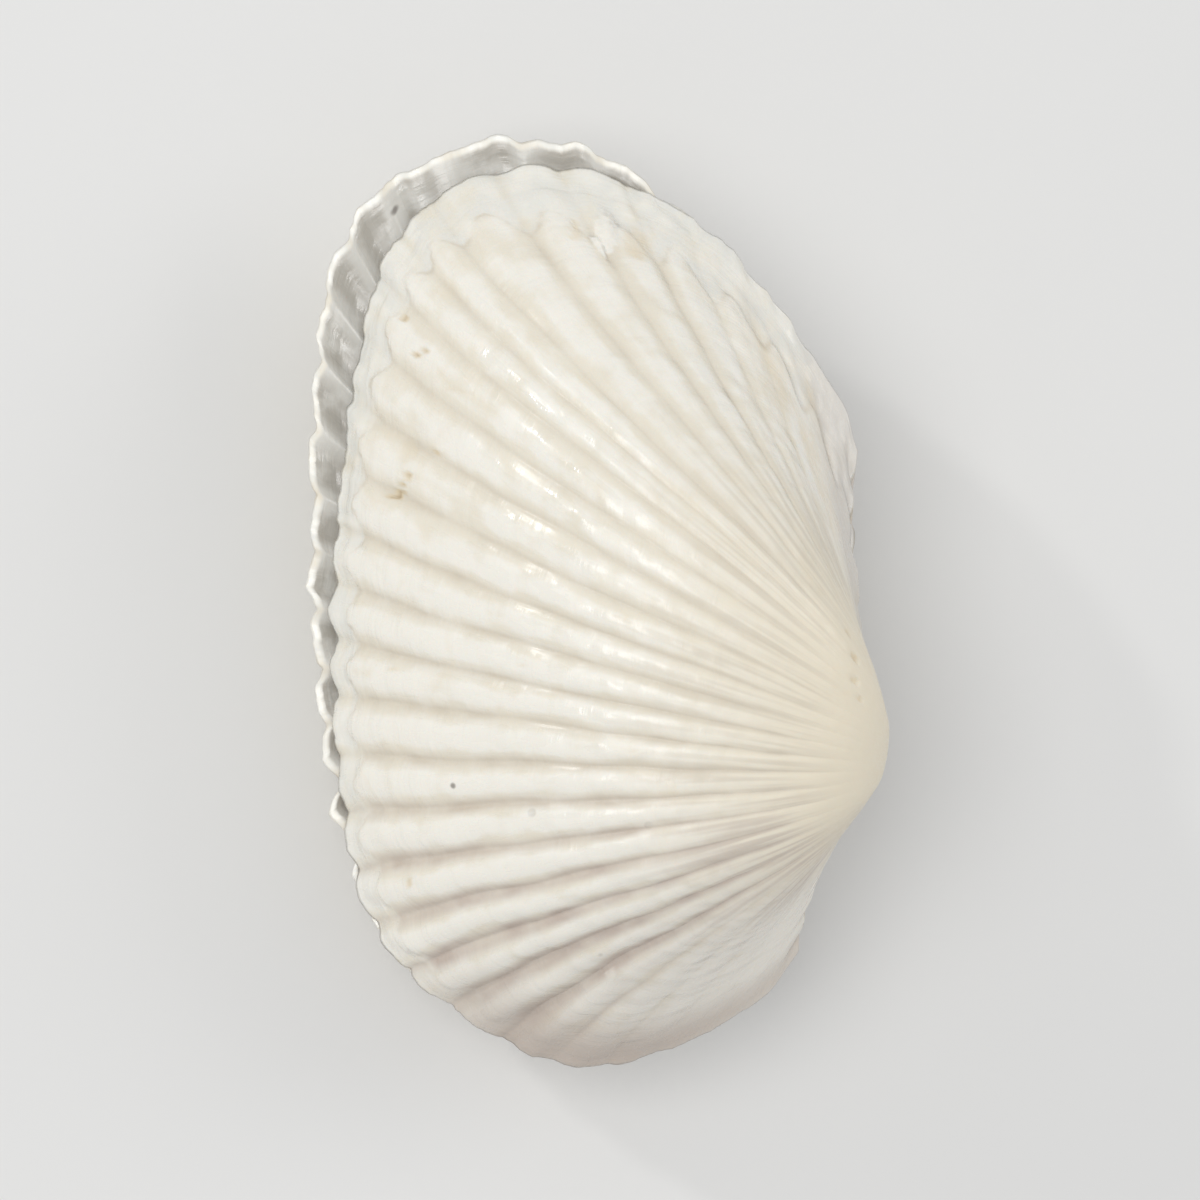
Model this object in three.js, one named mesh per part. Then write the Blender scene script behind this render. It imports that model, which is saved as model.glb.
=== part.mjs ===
// Ark clam shell: a pair of empty, ribbed valves lying on the larger one, closed but for a hair.
//
// A valve grows by adding rings to its edge, so each valve is a loft through its growth rings:
// out from the beak to the edge, over the lip, and back along the inside to the end of the hollow.
// In a valve's own frame x runs along the hinge towards the rear, y from the hinge towards the
// ventral side and z out of the plane where the two valves meet.
import * as THREE from "three";
import { LoftGeometry } from "three/addons/geometries/LoftGeometry.js";

// Driving dimensions, in millimetres unless a name says otherwise.

// Edge of the upper valve in the plane where the valves meet, from the rear end of the hinge
// round the ventral side to its front end: distance along the hinge from the beak, distance
// from the hinge axis, and how far the lower valve reaches past the upper one there.
const EDGE = [
  [18.4, 3.0, 0.0],
  [25.0, 7.3, 0.0],
  [31.1, 14.1, 0.0],
  [33.6, 22.3, 1.3],
  [31.3, 29.7, 2.0],
  [25.6, 33.2, 2.7],
  [15.0, 34.1, 1.8],
  [2.6, 33.3, 1.1],
  [-9.3, 30.9, 0.5],
  [-16.1, 26.8, 0.2],
  [-20.3, 18.3, 0.0],
  [-19.6, 11.7, 0.0],
  [-15.6, 5.4, 0.0],
  [-12.0, 3.0, 0.0],
];

// Growth: a ring that is turned back about the hinge axis shrinks towards the beak by
// exp(-(rate * turn + gain * turn squared)), with the turn in radians.
const GROWTH_RATE = 0.81;
const GROWTH_GAIN = 0.262;
const BEAK_HEIGHT = 2.4;
const BEAK_TURN_DEG = 132;

// Grooves between the ribs: the number of a groove, counted from the rear end of the hinge, and
// its place as a share of the free edge. Those between are evenly spaced.
const GROOVES = [
  [0, 0],
  [3, 0.123],
  [8, 0.311],
  [10, 0.362],
  [14, 0.5],
  [17, 0.592],
  [24, 0.816],
  [30, 1],
];
const GROOVE_DEPTH = 0.5;
const GROOVE_SHARPNESS = 3;

// Smooth flanges beside the hinge, as the rib numbers between which the grooves fade.
const REAR_FLANGE_RIBS = [0.5, 3.5];
const FRONT_FLANGE_RIBS = [25, 29.5];

// Wall, measured towards the middle of the valve: thin at the edge, thick at the hinge and umbo.
const UPPER_LIP = 1.0;
const LOWER_LIP = 0.8;
const HINGE_PLATE = 3.8;
const EDGE_WALL = 1.8;
const UMBO_WALL = 4.4;
const LIP_TURN_DEG = 7;
const HOLLOW_TURN_DEG = 56;
const MIDDLE = new THREE.Vector3(6, 18, 0);

// How the pair lies: the gap between the valves, and the turns about the hinge and across it
// that bring the lower valve to where it settles on a level surface.
const VALVE_GAP = 0.3;
const REST_TILT_DEG = 17.7;
const REST_ROLL_DEG = -5.5;

// Cream-white shell, the lower valve a little greyer.
const UPPER_COLOUR = 0xddd8cc;
const LOWER_COLOUR = 0xd7d6d0;
const SHELL_ROUGHNESS = 0.42;

// Steps of the mesh: columns across one rib and along the hinge, and growth rings outside and in.
const RIB_COLUMNS = [0, 0.25, 0.5, 0.75];
const HINGE_COLUMNS = 10;
const OUTER_RINGS = 11;
const INNER_RINGS = 6;
const RING_EASE = 1.3;

const HINGE_AXIS = new THREE.Vector3(1, 0, 0);
const BEAK = new THREE.Vector3(0, 0, BEAK_HEIGHT);
const RIB_COUNT = GROOVES.at(-1)[0];
const { degToRad, lerp, mapLinear, smoothstep } = THREE.MathUtils;

const edgeCurve = new THREE.SplineCurve(EDGE.map(([along, out]) => new THREE.Vector2(along, out)));
const reachCurve = new THREE.SplineCurve(EDGE.map(([along, , reach]) => new THREE.Vector2(along, reach)));

// Share of the free edge at a rib number, whole numbers being grooves.
function edgeShare(ribNumber) {
  const last = GROOVES.findIndex(([number]) => number >= ribNumber && number > 0);
  const [from, fromShare] = GROOVES[last - 1];
  const [to, toShare] = GROOVES[last];
  return mapLinear(ribNumber, from, to, fromShare, toShare);
}

// Depth of the grooves at a rib number, fading out on the smooth flanges beside the hinge.
function grooveDepth(ribNumber, firstGroove) {
  const sharp = Math.abs(Math.cos(Math.PI * (ribNumber - firstGroove))) ** GROOVE_SHARPNESS;
  const rearFade = smoothstep(ribNumber, ...REAR_FLANGE_RIBS);
  const frontFade = 1 - smoothstep(ribNumber, ...FRONT_FLANGE_RIBS);
  return GROOVE_DEPTH * sharp * rearFade * frontFade;
}

// Columns of one valve round its edge: the smooth edge point, the same point with the grooves
// cut in, and whether it lies on the hinge line.
function edgeColumns(reachShare, firstGroove) {
  const columns = [];
  for (let rib = -1; rib < RIB_COUNT; rib += 1) {
    for (const phase of RIB_COLUMNS) {
      const ribNumber = rib + firstGroove + phase;
      if (ribNumber < 0 || ribNumber >= RIB_COUNT) continue;
      const share = edgeShare(ribNumber);
      const curvePlace = edgeCurve.getUtoTmapping(share);
      const tangent = edgeCurve.getTangent(curvePlace);
      const outward = new THREE.Vector3(tangent.y, -tangent.x, 0);
      const reach = reachShare * reachCurve.getPoint(curvePlace).y;
      const edge = edgeCurve.getPoint(curvePlace);
      const smooth = new THREE.Vector3(edge.x, edge.y, 0).addScaledVector(outward, reach);
      const ribbed = smooth.clone().addScaledVector(outward, -grooveDepth(ribNumber, firstGroove));
      columns.push({ smooth, ribbed, onHinge: false });
    }
  }
  const front = new THREE.Vector3(...EDGE.at(-1).slice(0, 2), 0);
  const rear = new THREE.Vector3(...EDGE[0].slice(0, 2), 0);
  for (let step = 0; step < HINGE_COLUMNS; step += 1) {
    const point = front.clone().lerp(rear, step / HINGE_COLUMNS);
    columns.push({ smooth: point, ribbed: point, onHinge: true });
  }
  return columns;
}

// Size of a growth ring, as a share of the full-grown edge.
function ringSize(turn) {
  return Math.exp(-turn * (GROWTH_RATE + GROWTH_GAIN * turn));
}

// Where a point of the full-grown edge lay when the valve had turned back by an angle.
function grown(point, turn) {
  const size = ringSize(turn);
  return point.clone().sub(BEAK).applyAxisAngle(HINGE_AXIS, turn).multiplyScalar(size).add(BEAK);
}

// A point moved towards the middle of the valve.
function movedIn(point, distance) {
  return point.clone().add(MIDDLE.clone().sub(point).setLength(distance));
}

// Growth rings of a valve, from the tip of the beak over the edge to the end of the hollow.
function growthRings(columns, lip) {
  const rings = [columns.map(() => BEAK)];
  for (let ring = OUTER_RINGS; ring >= 0; ring -= 1) {
    const turn = degToRad(BEAK_TURN_DEG) * (ring / OUTER_RINGS) ** RING_EASE;
    rings.push(columns.map(({ ribbed }) => grown(ribbed, turn)));
  }
  for (let ring = 0; ring <= INNER_RINGS; ring += 1) {
    const turn = degToRad(HOLLOW_TURN_DEG) * (ring / INNER_RINGS) ** RING_EASE;
    const pastLip = Math.min(1, turn / degToRad(LIP_TURN_DEG));
    rings.push(
      columns.map(({ smooth, ribbed, onHinge }) => {
        const wall = lerp(onHinge ? HINGE_PLATE : EDGE_WALL, UMBO_WALL, turn / degToRad(HOLLOW_TURN_DEG));
        const thickness = lerp(onHinge ? HINGE_PLATE : lip, wall, pastLip);
        const edge = ribbed.clone().lerp(smooth, pastLip);
        return grown(movedIn(edge, thickness / ringSize(turn)), turn);
      }),
    );
  }
  rings.push(columns.map(() => grown(MIDDLE, degToRad(HOLLOW_TURN_DEG))));
  return rings;
}

function shellMaterial(colour) {
  return new THREE.MeshStandardMaterial({ color: colour, roughness: SHELL_ROUGHNESS, metalness: 0 });
}

// The upper valve, a little smaller than the one it lies on.
function upperValve() {
  const rings = growthRings(edgeColumns(0, 0), UPPER_LIP);
  const facingOut = rings.map((ring) => ring.toReversed());
  const valve = new THREE.Mesh(new LoftGeometry(facingOut), shellMaterial(UPPER_COLOUR));
  valve.name = "upper_valve";
  valve.position.z = VALVE_GAP / 2;
  return valve;
}

// The lower valve, mirrored in the plane where the valves meet. Its ribs end opposite the grooves
// of the upper valve, so the two edges interlock.
function lowerValve() {
  const rings = growthRings(edgeColumns(1, 0.5), LOWER_LIP);
  const mirrored = rings.map((ring) => ring.map(({ x, y, z }) => new THREE.Vector3(x, y, -z)));
  const valve = new THREE.Mesh(new LoftGeometry(mirrored), shellMaterial(LOWER_COLOUR));
  valve.name = "lower_valve";
  valve.position.z = -VALVE_GAP / 2;
  return valve;
}

// The pair as it lies, the rear end towards +Y and the hinge towards +X.
const pair = new THREE.Group();
pair.add(upperValve(), lowerValve());
pair.rotation.set(-degToRad(REST_TILT_DEG), degToRad(REST_ROLL_DEG), Math.PI / 2, "ZYX");

const shell = new THREE.Group();
shell.add(pair);
shell.updateMatrixWorld(true);

// The origin is under the middle of the shell, on the surface it lies on.
const extent = new THREE.Box3().setFromObject(shell, true);
const centre = extent.getCenter(new THREE.Vector3());
pair.position.set(-centre.x, -centre.y, -extent.min.z);

export default shell;
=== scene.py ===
"""An ark clam shell: a pair of ribbed, cream-white valves lying closed on the larger one."""

import math
from bisect import bisect_left
from typing import NamedTuple

import bmesh
import bpy
from mathutils import Color, Matrix, Vector, geometry, noise


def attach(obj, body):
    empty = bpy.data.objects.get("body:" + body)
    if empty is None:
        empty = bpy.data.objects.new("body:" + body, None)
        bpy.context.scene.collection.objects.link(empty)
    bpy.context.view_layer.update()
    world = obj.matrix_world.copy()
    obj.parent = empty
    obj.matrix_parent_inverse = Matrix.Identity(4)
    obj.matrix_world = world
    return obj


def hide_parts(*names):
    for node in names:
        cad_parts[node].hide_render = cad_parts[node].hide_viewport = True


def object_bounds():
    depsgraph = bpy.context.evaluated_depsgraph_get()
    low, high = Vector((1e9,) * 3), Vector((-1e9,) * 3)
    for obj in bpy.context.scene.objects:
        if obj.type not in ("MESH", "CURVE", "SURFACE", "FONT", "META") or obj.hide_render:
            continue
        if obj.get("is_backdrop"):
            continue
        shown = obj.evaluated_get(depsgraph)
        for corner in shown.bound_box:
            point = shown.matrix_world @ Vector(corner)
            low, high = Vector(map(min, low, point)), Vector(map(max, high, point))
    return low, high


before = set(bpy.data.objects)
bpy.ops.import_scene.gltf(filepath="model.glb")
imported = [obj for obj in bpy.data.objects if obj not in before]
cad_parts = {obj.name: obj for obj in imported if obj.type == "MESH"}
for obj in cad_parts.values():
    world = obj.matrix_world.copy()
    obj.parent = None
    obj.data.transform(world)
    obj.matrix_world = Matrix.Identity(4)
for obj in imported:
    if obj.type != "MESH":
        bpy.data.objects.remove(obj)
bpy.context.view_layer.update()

bl_info = {
    "name": "Ark Clam Shell",
    "version": (1, 0, 0),
    "blender": (4, 5, 0),
    "location": "View3D > Sidebar > Shell",
    "description": "Models a pair of ark clam valves and the stage they lie on",
    "category": "Add Mesh",
}

MM = 0.001


# Kinds of rows and values in the tables below

class Dot(NamedTuple):
    """A small dark dot: its turn is in degrees, and its radius, the width of a rib there and the
    length of a radian of growth are in millimetres."""

    rib: float
    turn: float
    radius: float
    inside: bool
    rib_width: float
    radian_length: float


class Waver(NamedTuple):
    """An unevenness of the shell: its amount, its changes across the ribs and along them, and a
    shift that keeps it apart from the others."""

    amount: float
    across: float
    along: float
    shift: float


class Pattern(NamedTuple):
    """A cloudy pattern of the finish: its changes to a rib and to a radian of growth, its detail
    and its distortion."""

    across: float
    along: float
    detail: float = 3.0
    distortion: float = 0.0


class Mottle(NamedTuple):
    """A cloudy pattern in space: its changes to a metre, its detail and its distortion."""

    scale: float
    detail: float = 3.0
    distortion: float = 0.0


class Lamp(NamedTuple):
    """A square soft lamp: its place and its width in metres, and the setting that holds its power."""

    name: str
    place: tuple
    width: float
    power: str


# A valve's own frame has x along the hinge towards the rear, y from the hinge towards the ventral
# side and z out of the plane where the valves meet.

# Edge of the upper valve, from the rear end of the hinge round to its front end, in millimetres:
# along the hinge from the beak, out from the hinge axis, and the lower valve's reach past it.
EDGE = (
    (18.4, 3.0, 0.0),
    (25.0, 7.3, 0.0),
    (31.1, 14.1, 0.0),
    (33.6, 22.3, 1.3),
    (31.3, 29.7, 2.0),
    (25.6, 33.2, 2.7),
    (15.0, 34.1, 1.8),
    (2.6, 33.3, 1.1),
    (-9.3, 30.9, 0.5),
    (-16.1, 26.8, 0.2),
    (-20.3, 18.3, 0.0),
    (-19.6, 11.7, 0.0),
    (-15.6, 5.4, 0.0),
    (-12.0, 3.0, 0.0),
)
EDGE_STEPS = 40

# Number of a groove, counted from the rear end of the hinge, and its share of the free edge.
GROOVES = (
    (0, 0.0),
    (3, 0.123),
    (8, 0.311),
    (10, 0.362),
    (14, 0.5),
    (17, 0.592),
    (24, 0.816),
    (30, 1.0),
)
RIB_COUNT = GROOVES[-1][0]

# Depth of the grooves at a rib number, in millimetres: none on the flanges beside the hinge.
GROOVE_DEPTHS = (
    (0, 0.0),
    (2, 0.03),
    (3.5, 0.16),
    (5, 0.4),
    (9, 0.36),
    (13, 0.44),
    (17, 0.54),
    (20, 0.68),
    (22, 0.8),
    (24, 0.84),
    (25.2, 0.24),
    (27, 0.12),
    (30, 0.0),
)

# Depth of a groove, in millimetres, that counts as 1 for the grooves' tint with painted shade, and for
# rim hollows.
FULL_DEPTH = 0.6

# Shape of a groove: the share that is a wide trough, the rest being its narrow floor, and how sharp
# the trough is between the narrow-grooved ribs of the rear and the rounded ones of the front.
TROUGH_SHARE = 0.76
REAR_SHARPNESS = 2.8
FRONT_SHARPNESS = 2.0
ROUNDED_RIBS = (19.0, 23.0)

# Turns in degrees over which the grooves wear away, and the rib numbers and turns over which those
# towards the front lose a share of their depth besides.
GROOVE_WORN_TURNS = (46.0, 96.0)
FRONT_WORN_RIBS = (18.0, 21.0)
FRONT_WORN_TURNS = (18.0, 55.0)
FRONT_WEAR = 0.45

# Fine line along the middle of the rear ribs: the rib numbers over which it comes and goes, the
# turns in degrees over which it wears away, and its half width in rib widths.
LINE_FIRST_RIBS = (2.0, 4.0)
LINE_LAST_RIBS = (8.0, 11.0)
LINE_WORN_TURNS = (40.0, 80.0)
LINE_WIDTH = 0.06

# Ragged edge: the rib numbers over which it comes and goes, the turn in degrees where it has faded,
# its changes to a rib and how much weaker its finer changes are.
RAGGED_FIRST_RIBS = (0.0, 2.0)
RAGGED_LAST_RIBS = (28.0, 30.0)
RAGGED_TURN = 4.0
RAGGED_CHANGES = 1.7
RAGGED_FALL = 0.8

# Rib numbers over which the lower valve's edge draws in under the upper one, and comes out again.
TUCKED_RIBS = (17.0, 21.0)
REAR_TUCKED_RIBS = (2.0, 4.5)

# Notches in the ridges at the rear and front ends of the hinge, as turns in degrees, with their
# half width in degrees, and their half length and farthest reach along the edge in millimetres.
REAR_NOTCHES = (6.5, 15.5, 26.0, 42.0)
FRONT_NOTCHES = (4.5, 16.0, 38.0)
NOTCH_WIDTH = 2.4
NOTCH_LENGTH = 1.6
NOTCH_REACH = 5.0

# Last growth band: its width in millimetres at a rib number, its widening at the grooves, the
# shares of its width over which it steps up to the older shell, that shell's lift as a share of
# the step, and the rib numbers over which the relief fades, and by how much.
BAND_WIDTHS = ((0, 1.2), (3, 2.2), (6, 3.4), (9, 2.6), (14, 1.9), (21, 1.7), (26, 1.4), (30, 1.0))
BAND_SCALLOP = 0.2
BAND_BORDER = (0.88, 1.1)
OLDER_SHELL_LIFT = 0.6
BAND_FADED_RIBS = (22.0, 25.5)
BAND_FADE = 0.85

# Swelling of the rear flange: its rib number, half width in rib widths, and turn where it has faded.
FLANGE_RIB = 0.6
FLANGE_WIDTH = 0.5
FLANGE_TURN = 25.0

# Growth rings: the turns in degrees over which they wear away, and how far from the hinge the edge
# is, in millimetres, where they start and where they are full.
RING_WORN_TURNS = (35.0, 75.0)
RING_CLEARANCE = (5.0, 22.0)

# Older growth halts, as turns in degrees, with the height of their step in millimetres, and half
# the turn that a step takes.
HALTS = ((11.0, 0.05), (19.0, 0.07), (30.0, 0.05), (41.0, 0.06), (55.0, 0.04))
HALT_WIDTH = 0.8

# Inside of the edge: the shares of the lip over which a rim hollow deepens and ends, the shares over
# which the lower valve's shelf starts, and how many lip turns in it ends.
HOLLOW_START = (0.0, 0.2)
HOLLOW_END = (0.25, 0.6)
SHELF_START = (0.0, 0.5)
SHELF_END = 4.0

# Unevenness of the relief. Along the ribs it changes with the turn in radians, but on the band
# with the distance from the edge in millimetres, and from halt to halt with degrees.
GROOVE_WANDER = Waver(0.07, 0.8, 6.0, 0.0)
GROOVE_UNEVENNESS = Waver(0.35, 1.0, 9.0, 5.0)
BAND_WAVER = Waver(0.35, 0.9, 0.0, 0.0)
BAND_BUMPS = Waver(1.0, 2.1, 1.2, 11.0)
GROWTH_RINGS = Waver(1.0, 0.35, 34.0, 7.0)
HALT_DRIFT = Waver(1.5, 0.5, 1.0, 0.0)
HINGE_RIPPLES = Waver(1.0, 0.45, 0.0, 0.0)

# Slow swell and fine grain of the whole surface: their changes to a millimetre, how much weaker the
# swell's finer changes are, and the height of the grain as a share of the swell's.
SWELL_CHANGES = 0.22
SWELL_FALL = 1.0
GRAIN_CHANGES = 1.4
GRAIN_SHARE = 0.06

# Layers of an unevenness that has finer changes on coarser ones, and how much finer each one is.
FINER_LAYERS = 3
FINER_STEP = 2.0

# A dark dot outside the upper valve and one inside the lower valve's rim, how dark they are, and
# where they start to pale and end, in radii.
UPPER_DOT = Dot(18.55, 16.2, 0.16, False, 2.9, 31.0)
LOWER_DOT = Dot(8.46, 0.9, 0.22, True, 2.8, 110.0)
DOT_DARKNESS = 0.7
DOT_BORDER = (0.5, 1.6)

# Marks on the upper valve: rib number, turn in degrees, half width across the ribs and half length
# along them in millimetres, height in millimetres (pits are negative), and how brown it is.
MARKS = (
    (12.55, 9.6, 0.3, 0.4, -0.22, 0.4),
    (12.75, 9.0, 0.2, 0.3, -0.2, 0.35),
    (12.95, 8.6, 0.15, 0.5, -0.15, 0.35),
    (13.05, 7.8, 0.15, 0.4, -0.15, 0.4),
    (12.2, 8.7, 0.8, 1.2, -0.14, 0.12),
    (10.53, 8.2, 0.2, 0.42, -0.2, 0.42),
    (10.38, 8.9, 0.15, 0.35, -0.2, 0.35),
    (10.17, 5.3, 0.2, 0.4, -0.2, 0.38),
    (10.6, 13.5, 0.25, 0.6, -0.12, 0.12),
    (11.9, 12.4, 0.2, 0.4, -0.14, 0.3),
    (15.53, 24.9, 0.2, 0.2, -0.1, 0.2),
    (7.43, 73.3, 0.25, 0.3, -0.1, 0.2),
    (8.54, 77.9, 0.3, 0.35, -0.12, 0.3),
    (10.49, 78.9, 0.25, 0.3, -0.1, 0.2),
    (11.49, 81.9, 0.2, 0.25, -0.1, 0.2),
    (16.3, 9.0, 0.2, 0.4, -0.12, 0.2),
    (20.4, 8.0, 0.25, 0.3, -0.12, 0.25),
    (5.35, 9.2, 1.0, 1.4, -0.05, 0.17),
    # Beside the white chip, on its front side: a beige patch that is the chip's painted shadow.
    (6.3, 8.6, 0.35, 1.0, -0.06, 0.18),
    (5.85, 9.0, 0.6, 1.6, 0.4, -0.9),
    (24.2, 20.0, 0.5, 0.6, 0.1, -0.2),
)

# Border of a mark: where it starts to fade and ends, as shares of its half size, how ragged it is,
# its changes to a millimetre, and the reach of a mark in half lengths.
MARK_BORDER = (0.6, 1.2)
MARK_RAGGEDNESS = 0.5
MARK_CHANGES = 1.7
MARK_REACH = 3.0

# What each vertex tells the material of its place on the valve.
SURFACE_NOTES = ("rib", "turn", "groove", "inside", "hinge", "stain", "band")

# Columns of the mesh across a rib and along the hinge, and rings outside, over the lip and inside.
# Columns crowd towards the grooves and rings towards the edge. The weld is in millimetres.
RIB_COLUMNS = 17
HINGE_COLUMNS = 44
OUTER_RINGS = 112
LIP_RINGS = 5
INNER_RINGS = 30
COLUMN_CROWDING = 0.5
RING_CROWDING = 1.3
WELD = 0.0005

# Patterns of the finish that follow the shell's growth.
STREAKS = Pattern(2.6, 5.0)
RING_BANDS = Pattern(0.35, 42.0)
BARS = Pattern(1.3, 17.0)
SMUDGES = Pattern(1.1, 2.6, 4.0, 0.6)
RAYS = Pattern(3.0, 1.8, 1.0)
GLOSS = Pattern(3.5, 16.0)
GROWTH_LINES = Pattern(0.8, 95.0)
BEADS = Pattern(1.5, 24.0, 0.0)

# Patterns of the finish that lie in space, whatever the growth.
RIB_MOTTLE = Mottle(420.0)
BAND_BLOTCHES = Mottle(520.0, 4.0)
STAINS = Mottle(330.0, 5.0, 1.0)
GROOVE_TINT_AND_SHADE_MOTTLE = Mottle(420.0)
LINING_MOTTLE = Mottle(650.0, 4.0)
SPECKLED_AREAS = Mottle(90.0, 2.0)
FINE_GRAIN = Mottle(1000.0, 2.0)
FLOOR_GRAIN = Mottle(40.0)
SPECKS_PER_METRE = 260.0

# Rib numbers over which parts of the finish come or go.
WHITER_RIBS = (12.0, 16.0)
PLAINER_BAND_RIBS = (16.0, 21.0)
OFF_FLANGE_RIBS = (0.9, 2.2)
SMUDGE_FIRST_RIBS = (0.6, 1.6)
SMUDGE_LAST_RIBS = (2.2, 4.5)
FRONT_GROOVE_TINT_AND_SHADE_RIBS = (17.0, 22.0)
FRONT_EDGE_RIBS = (21.5, 24.5)
FRONT_EDGE_END_RIBS = (29.5, 26.0)
REAR_RELIEF_RIBS = (1.5, 5.5)
FRONT_RELIEF_RIBS = (28.5, 25.0)

# Turns in degrees over which parts of the finish come or go.
FINISH_WORN_TURNS = (30.0, 70.0)
UMBO_TURNS = (26.0, 78.0)
RAY_FIRST_TURNS = (28.0, 52.0)
RAY_LAST_TURNS = (60.0, 78.0)
MATT_TURNS = (26.0, 46.0)
HINGE_TURNS = (3.0, 10.0)
FRONT_EDGE_TURNS = (2.0, 15.0)
FAINTER_LINE_TURNS = (6.0, 26.0)

# Turns in radians over which the smudges beside the flange come and go.
SMUDGE_FIRST_TURNS = (0.05, 0.18)
SMUDGE_LAST_TURNS = (0.35, 0.8)

# What is the same all over the shell, and how strongly and how far the fine relief stands out.
SHELL_SURFACE = {
    "Coat Weight": 0.15,
    "Coat Roughness": 0.16,
    "Subsurface Weight": 0.12,
    "Subsurface Radius": (1.0, 0.75, 0.55),
    "Subsurface Scale": 0.0012,
}
RELIEF_STRENGTH = 0.5
RELIEF_DISTANCE = 0.00014

# Stage, in metres: the floor, the lamps and their target, and the nearest thing that is seen.
FLOOR_HALF_WIDTH = 3.0
FLOOR_GRAIN_GREY = (0.6, 0.6, 0.6)
FLOOR_ROUGHNESS = 0.9
LAMP_TARGET = Vector((0, 0, 0.012))
LAMPS = (
    Lamp("key_lamp", (-0.36, -0.03, 0.68), 0.36, "key_power"),
    Lamp("glint_lamp", (-0.62, 0.3, 0.4), 0.05, "glint_power"),
    Lamp("fill_lamp", (0.54, 0.26, 0.42), 0.4, "fill_power"),
)
NEAREST_SEEN = 0.01


def shell_colour(code):
    """A colour from its usual six-digit code, in the renderer's linear light."""
    parts = [(code >> shift & 255) / 255 for shift in (16, 8, 0)]
    return tuple(Color(parts).from_srgb_to_scene_linear())


def size_property(name, millimetres, description):
    """A length that a user may change."""
    return bpy.props.FloatProperty(
        name=name, description=description, default=millimetres * MM, unit="LENGTH", precision=5
    )


def angle_property(name, degrees, description):
    """An angle that a user may change."""
    return bpy.props.FloatProperty(
        name=name, description=description, default=math.radians(degrees), unit="ROTATION"
    )


def share_property(name, default, description):
    """A plain number that a user may change."""
    return bpy.props.FloatProperty(name=name, description=description, default=default)


def colour_property(name, code, description):
    """A colour that a user may change."""
    return bpy.props.FloatVectorProperty(
        name=name,
        description=description,
        default=shell_colour(code),
        subtype="COLOR",
        size=3,
        min=0,
        max=1,
    )


class ShellSizes(bpy.types.PropertyGroup):
    """Sizes of the valves and of how they lie."""

    growth_rate: share_property("Growth rate", 0.81, "How fast a growth ring shrinks as it turns back")
    growth_gain: share_property("Growth gain", 0.262, "How much that shrinking quickens with the turn")
    beak_height: size_property("Beak height", 2.4, "Beak above the plane where the valves meet")
    beak_turn: angle_property("Beak turn", 132, "Turn of the youngest growth ring about the hinge")
    groove_share: share_property("Groove share", 1.0, "Depth of the grooves, as a share of the table")
    groove_width: share_property("Groove width", 0.07, "Half width of a groove's floor, in rib widths")
    line_depth: size_property("Line depth", 0.05, "Depth of the line along the middle of the rear ribs")
    band_step: size_property("Band step", 0.22, "Step down to the last growth band")
    band_bumps: size_property("Band bumps", 0.22, "Height of the bumps on the last growth band")
    raggedness: size_property("Raggedness", 0.4, "Unevenness of the edge")
    flange_bulge: size_property("Flange bulge", 0.5, "Swelling of the smooth flange at the rear")
    tuck: size_property("Tuck", 0.6, "Lower valve's edge drawn in under the front of the upper one")
    notch_depth: size_property("Notch depth", 0.3, "Depth of the notches in the ridges beside the hinge")
    ring_height: size_property("Ring height", 0.05, "Height of the growth rings across the ribs")
    ripple: size_property("Ripple", 0.22, "Height of the ripples along the hinge")
    upper_lip: size_property("Upper lip", 0.8, "Thickness of the upper valve's edge")
    lower_lip: size_property("Lower lip", 0.6, "Thickness of the lower valve's edge")
    hinge_plate: size_property("Hinge plate", 3.8, "Thickness of the hinge plate")
    edge_wall: size_property("Edge wall", 1.8, "Wall just inside the edge")
    umbo_wall: size_property("Umbo wall", 4.4, "Wall under the umbo")
    lip_ease: share_property("Lip ease", 4.5, "How gently the inside falls away behind the lip")
    lip_turn: angle_property("Lip turn", 7, "Turn over which the lip thickens to the wall")
    hollow_turn: angle_property("Hollow turn", 56, "Turn at the end of the hollow")
    flute_depth: size_property("Flute depth", 0.5, "Depth of the hollow under each rib's end")
    roughening: size_property("Roughening", 0.07, "Height of the surface's slow unevenness")
    valve_gap: size_property("Valve gap", 0.3, "Gap between the valves")
    rest_tilt: angle_property("Rest tilt", -17.7, "Turn about the hinge that lays the pair down")
    rest_roll: angle_property("Rest roll", -5.5, "Turn across the hinge that lays the pair down")
    middle: bpy.props.FloatVectorProperty(
        name="Middle",
        description="Middle of the meeting plane",
        default=(6 * MM, 18 * MM, 0),
        subtype="XYZ",
    )
    hinge_place: bpy.props.FloatVectorProperty(
        name="Hinge place",
        description="Where the hinge axis passes the beak, in the part's frame",
        default=(16.046 * MM, -7.756 * MM, 16.592 * MM),
        subtype="TRANSLATION",
        precision=5,
    )


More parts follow.
